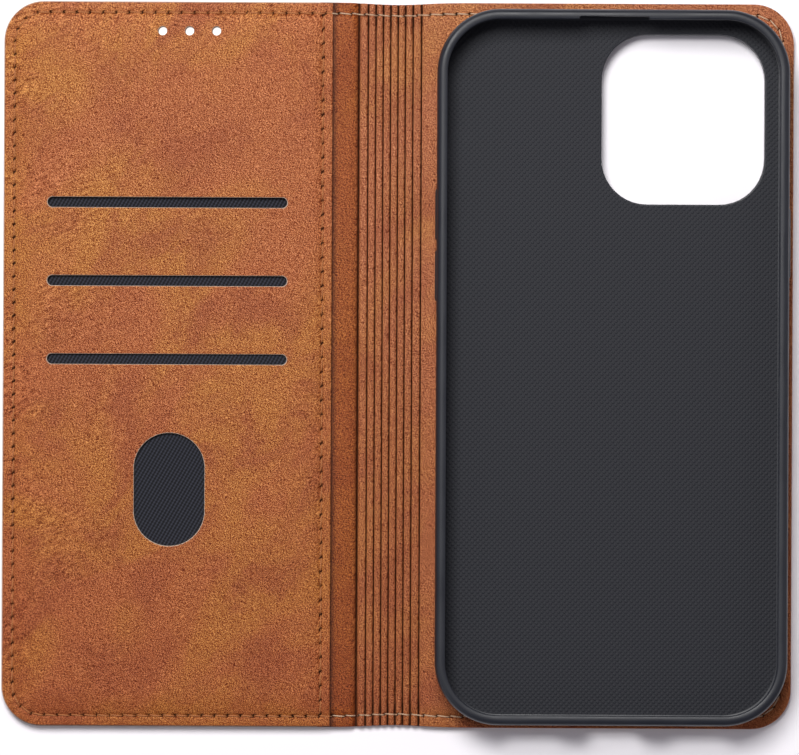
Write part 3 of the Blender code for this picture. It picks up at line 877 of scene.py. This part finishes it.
ring_marks = ROUND_SEAM[:-1]
last_front = np.flatnonzero((ring_marks[:, 0] < SEAM) & (np.roll(ring_marks[:, 0], 1) >= SEAM))[0]
ring_marks = np.roll(ring_marks, -last_front, axis=0)
front_count = int((ring_marks[:, 0] < SEAM).sum())
front_run = ring_marks[: front_count + 1]
back_run = np.vstack([ring_marks[front_count:], ring_marks[:1]])
thread_front = thread("front_cover_thread", stitches(front_run, sewn_surface),
                      stitches(front_run, outside_surface, UNDERSIDE_LIFT))
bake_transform(thread_front)
thread_back = thread("back_cover_thread", stitches(back_run, sewn_surface),
                     stitches(back_run, outside_surface, UNDERSIDE_LIFT))
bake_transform(thread_back)
thread_panel = thread("pocket_panel_thread", stitches(PANEL_SEAM, panel_crown))
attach(thread_panel, "front_cover")


# ---- Phone tray ------------------------------------------------------------------------------
# The tray is one moulding of soft dark rubber that grips the phone by a lip. It has a collar that
# lines the camera window, and openings for the port, speakers, microphone, switch and buttons.

CASE_HEIGHT = 12.6
UNDER_TRAY = 2.9  # the height of what the tray stands on
PHONE_THICKNESS = 7.85
TRAY_TOP = tray_high.z
TRAY_BOTTOM = TRAY_TOP - CASE_HEIGHT + UNDER_TRAY
FLOOR_TOP = TRAY_BOTTOM + 1.15
GLASS_TOP = FLOOR_TOP + PHONE_THICKNESS
PHONE_MIDDLE = FLOOR_TOP + PHONE_THICKNESS / 2
TRAY_MIDDLE = (CAVITY[0] + CAVITY[1]) / 2
RECESS = 0.45  # the hollow under the floor that takes the adhesive film
SKIRT = 2.5  # the width of the foot round that hollow
COLLAR_BOTTOM = 0.3
# The tray's section, from the floor's edge up the wall, over the lip, down the outside and under.
# Each stretch has a base height, and points that are this far out from the cavity and this high.
TRAY_STRETCHES = [
    (FLOOR_TOP, [(-3.0, 0.0), (-0.9, 0.0), (-0.55, 0.07), (-0.27, 0.27), (-0.07, 0.55),
                 (0.0, 0.9)]),
    (GLASS_TOP, [(0.0, -0.35), (-0.05, -0.1), (-0.22, 0.0), (-0.75, 0.05), (-0.95, 0.12),
                 (-1.05, 0.27), (-1.03, 0.42), (-0.92, 0.55), (-0.7, 0.64)]),
    (TRAY_TOP, [(-0.3, -0.01), (0.05, 0.0), (0.4, -0.05), (0.72, -0.2), (0.98, -0.45),
                (1.17, -0.8), (1.29, -1.3), (1.34, -2.0), (TRAY_WALL, -3.2)]),
    (TRAY_BOTTOM, [(TRAY_WALL, 2.0), (1.3, 0.8), (1.18, 0.3), (1.0, 0.06), (0.8, 0.0),
                   (TRAY_WALL - SKIRT, 0.0), (TRAY_WALL - SKIRT, RECESS), (-3.0, RECESS)]),
]
TRAY_PROFILE = [(out, base + up) for base, stretch in TRAY_STRETCHES for out, up in stretch]
# Turns a point that is across, along and out of a face into X, Y and Z.
FACINGS = {
    "+Z": lambda u, v, w: (u, v, w),
    "+X": lambda u, v, w: (w, u, v),
    "-X": lambda u, v, w: (-w, -u, v),
    "-Y": lambda u, v, w: (u, -w, v),
}

rubber, rubber_tree, rubber_shader = finish("tray_rubber", roughness=0.4, specular_ior_level=0.35)
spot = place_in(rubber_tree)
haze = add(rubber_tree, "TexNoise", {"Vector": spot, "Scale": 90.0, "Detail": 4.0}).outputs[0]
matt = add(rubber_tree, "TexNoise", {"Vector": spot, "Scale": 6000.0, "Detail": 2.0}).outputs[0]
rubber_colour = mixed(rubber_tree, haze, (0.010, 0.011, 0.016, 1), (0.016, 0.018, 0.025, 1))
rubber_tree.links.new(rubber_colour, rubber_shader.inputs["Base Color"])
handled = ranged(rubber_tree, haze, 0.3, 0.7, 0.36, 0.5)
rubber_tree.links.new(handled, rubber_shader.inputs["Roughness"])
bumped(rubber_tree, rubber_shader, matt, 0.012)

FLOOR_BLACK = (0.013, 0.014, 0.019, 1)
floor_rubber, grip_tree, grip_shader = finish("tray_floor_rubber", base_color=FLOOR_BLACK,
                                              roughness=0.6, specular_ior_level=0.25)
rows = {"Vector": stretched(grip_tree, place_in(grip_tree), 45, 1.0), "Scale": 1100.0}
rows["Randomness"] = 0.0
dots = add(grip_tree, "TexVoronoi", rows, voronoi_dimensions="2D", feature="F1").outputs["Distance"]
bumped(grip_tree, grip_shader, ranged(grip_tree, dots, 0.2, 0.42, 1.0, 0.0), 0.07)


def lofted(name, levels, materials, facing="+Z", steps=10):
    """A closed solid through levels of (plate, height), from its upper cap to its lower cap."""
    vertices, faces = [], []
    for plate, height in levels:
        vertices += [FACINGS[facing](u, v, height) for u, v in ring(plate, steps)]
    count = len(vertices) // len(levels)
    for level in range(len(levels) - 1):
        for i in range(count):
            a, b = level * count + i, level * count + (i + 1) % count
            faces.append((a, a + count, b + count, b))
    faces.append(tuple(range(count)))
    faces.append(tuple(reversed(range(len(vertices) - count, len(vertices)))))
    return body_mesh(name, vertices, faces, materials)


def carve(obj, tool, operation="DIFFERENCE"):
    """Cuts the tool out of obj, or joins it on, and removes the tool."""
    boolean = obj.modifiers.new("cut", "BOOLEAN")
    boolean.operation, boolean.solver, boolean.object = operation, "EXACT", tool
    ready = obj.evaluated_get(bpy.context.evaluated_depsgraph_get())
    mesh = bpy.data.meshes.new_from_object(ready)
    obj.modifiers.clear()
    obj.data = mesh
    bpy.data.objects.remove(tool)


def opening(plate, facing, outer, inner, radius=0.25):
    """A cutter for an opening whose two rims are rounded, between its outer and inner faces."""
    bend = [math.radians(22.5 * i) for i in range(5)]
    bend = [(radius * (1 - math.sin(a)), radius * (1 - math.cos(a))) for a in bend]
    levels = [(grown(plate, radius), outer + 1.0)]
    levels += [(grown(plate, a), outer - b) for a, b in bend]
    levels += [(grown(plate, b), inner + a) for a, b in bend]
    levels += [(grown(plate, radius), inner - 1.0)]
    return lofted("opening", levels, [rubber], facing)


tray_levels = [(grown(CAVITY, out), z) for out, z in TRAY_PROFILE]
tray = lofted("phone_tray_moulding", tray_levels, [rubber], steps=20)
collar_profile = [(COLLAR_WALL, FLOOR_TOP - 0.2), (COLLAR_WALL, COLLAR_BOTTOM + 0.2),
                  (COLLAR_WALL - 0.06, COLLAR_BOTTOM + 0.06), (COLLAR_WALL - 0.2, COLLAR_BOTTOM)]
collar_levels = [(grown(CAMERA_WINDOW, out), z) for out, z in collar_profile]
carve(tray, lofted("collar", collar_levels, [rubber]), "UNION")
carve(tray, opening(CAMERA_WINDOW, "+Z", FLOOR_TOP, COLLAR_BOTTOM, 0.3))
outer_foot = -(CAVITY[2] - TRAY_WALL)
PORT, SPEAKERS = (13.5, 5.6), (14.0, 3.4)
for offset, (length, height) in ((0.0, PORT), (-19.0, SPEAKERS), (19.0, SPEAKERS)):
    port = pill((TRAY_MIDDLE + offset, PHONE_MIDDLE), length, height)
    carve(tray, opening(port, "-Y", outer_foot, outer_foot - TRAY_WALL))
SWITCH_Y = tray_high.y - 33.5
switch = pill((-SWITCH_Y, PHONE_MIDDLE), 9.5, 5.0, 1.0)
carve(tray, opening(switch, "-X", TRAY_WALL - CAVITY[0], -CAVITY[0]))
ear = pill((TRAY_MIDDLE, CAVITY[3] - 1.05), 16.0, 1.2)
ear_levels = [(grown(ear, 0.25), TRAY_TOP + 1), (grown(ear, 0.2), TRAY_TOP - 0.05),
              (ear, TRAY_TOP - 0.3), (ear, GLASS_TOP - 0.8)]
carve(tray, lofted("ear_notch", ear_levels, [rubber]))


# ---- Side buttons ----------------------------------------------------------------------------
# Three button covers of the same rubber stand a little proud of the tray's long walls. Each
# slides inwards in a close-fitting window and springs back.

BUTTON_HEIGHT = 4.0
BUTTON_GAP = 0.3  # round the button in its window
BUTTON_STAND = 0.35  # how far it stands out of the wall
# The pad's section: how far in from its edge, and how far below its face.
BUTTON_CROWN = [(-0.95, 0.0), (-0.6, 0.015), (-0.32, 0.06), (-0.14, 0.16), (-0.03, 0.32),
                (0.0, 0.5)]


def button(name, node, body, facing):
    """A crowned pad in its window; facing is the way that it looks out of the tray."""
    low, high = (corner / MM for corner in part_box(node))
    outwards = 1 if facing == "+X" else -1
    middle = outwards * (low.y + high.y) / 2
    face = max(outwards * low.x, outwards * high.x)
    inner = face - (high.x - low.x)
    pad = pill((middle, PHONE_MIDDLE), high.y - low.y, BUTTON_HEIGHT, 1.0)
    wall = face - BUTTON_STAND
    carve(tray, opening(grown(pad, BUTTON_GAP), facing, wall, wall - TRAY_WALL, 0.2))
    levels = [(grown(pad, out), face - fall) for out, fall in BUTTON_CROWN]
    levels += [(pad, inner + 0.15), (grown(pad, -0.15), inner)]
    made = lofted(name, levels, [rubber], facing, 6)
    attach(made, body)
    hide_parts(node)


button("volume_up_pad", "volume_up_cover", "volume_up_button", "-X")
button("volume_down_pad", "volume_down_cover", "volume_down_button", "-X")
button("power_pad", "power_button_cover", "power_button", "+X")

# The windows for the buttons are cut now, so the tray is ready: its floor gets a dotted finish.
tray.data.materials.append(floor_rubber)
for face in tray.data.polygons:
    if face.normal.z > 0.99 and abs(face.center.z / MM - FLOOR_TOP) < 0.02:
        face.material_index = 1
tray.data.shade_smooth()
tray.data.set_sharp_from_angle(angle=math.radians(40))
evened = tray.modifiers.new("even_shading", "WEIGHTED_NORMAL")
evened.keep_sharp = True
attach(tray, "back_cover")
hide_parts("phone_tray")

# The film that holds the tray down on the lining.
film_finish, film_tree, film_shader = finish("adhesive_film", roughness=0.35)
film_mottle = noise(film_tree, place_in(film_tree), 400.0, 3.0)
film_colour = mixed(film_tree, film_mottle, (0.66, 0.62, 0.52, 1), (0.8, 0.77, 0.68, 1))
film_tree.links.new(film_colour, film_shader.inputs["Base Color"])
frame["nodes"]["tray_adhesive_film"].data.materials.clear()
frame["nodes"]["tray_adhesive_film"].data.materials.append(film_finish)


# ---- Table, light and camera -----------------------------------------------------------------
# The case lies on a plain white table. The main soft light stands beyond its head end, and two
# weaker ones at its left foot corner and its right side. The camera looks straight down on it.

TABLE_REACH = 2.0  # m


def soft_light(name, location, size, power, colour):
    """A square light that faces the middle of the case."""
    data = bpy.data.lights.new(name, "AREA")
    data.shape, data.size, data.energy, data.color = "SQUARE", size, power, colour
    obj = bpy.data.objects.new(name, data)
    obj.location = location
    obj.rotation_euler = (-Vector(location)).to_track_quat("-Z", "Y").to_euler()
    bpy.context.scene.collection.objects.link(obj)


soft_light("window_light", (-0.15, 0.42, 0.92), 0.44, 12.4, (1.0, 0.99, 0.975))
soft_light("side_light", (-0.8, -0.5, 0.7), 0.7, 1.8, (0.97, 0.97, 1.0))
soft_light("right_light", (0.9, 0.1, 0.7), 0.7, 1.2, (1.0, 0.97, 1.0))
world = bpy.data.worlds.new("studio")
bpy.context.scene.world = world
world.use_nodes = True
world.node_tree.nodes["Background"].inputs["Color"].default_value = (0.94, 0.88, 1.0, 1)
world.node_tree.nodes["Background"].inputs["Strength"].default_value = 0.16

table_mesh = bpy.data.meshes.new("table")
corners = ((-1, -1, 0), (1, -1, 0), (1, 1, 0), (-1, 1, 0))
table_corners = [tuple(TABLE_REACH * value for value in corner) for corner in corners]
table_mesh.from_pydata(table_corners, [], [(0, 1, 2, 3)])
table = bpy.data.objects.new("table", table_mesh)
table.location.z = -0.0001
table_white, _, _ = finish("table_white", base_color=(0.86, 0.84, 0.88, 1), roughness=0.6)
table_mesh.materials.append(table_white)
bpy.context.scene.collection.objects.link(table)
# Painted light: a glowing disc lies on the table under each sound hole, so the table shows bright
# through them.
glowing_disc_finish, _, _ = finish("glowing_disc_finish", base_color=(0.86, 0.85, 0.87, 1),
                         emission_color=(1, 1, 1, 1), emission_strength=1.0)
for hole in SOUND_HOLES:
    disc = grown(hole, 0.3)
    lofted("glowing_disc_under_hole", [(disc, -0.05), (disc, -0.09)], [glowing_disc_finish])

CAMERA_AT = (0.46, -2.85, 1400.0)
CAMERA_TURN = 0.28  # degrees
VIEW_WIDTH = 183.8  # how much of the table the camera takes in
lens = bpy.data.cameras.new("camera")
lens.lens = lens.sensor_width * (CAMERA_AT[2] - SKIN_TOP) / VIEW_WIDTH
camera = bpy.data.objects.new("camera", lens)
camera.location = [value * MM for value in CAMERA_AT]
camera.rotation_euler = (0, 0, math.radians(CAMERA_TURN))
bpy.context.scene.collection.objects.link(camera)
bpy.context.scene.camera = camera
bpy.context.scene.view_settings.view_transform = "Standard"
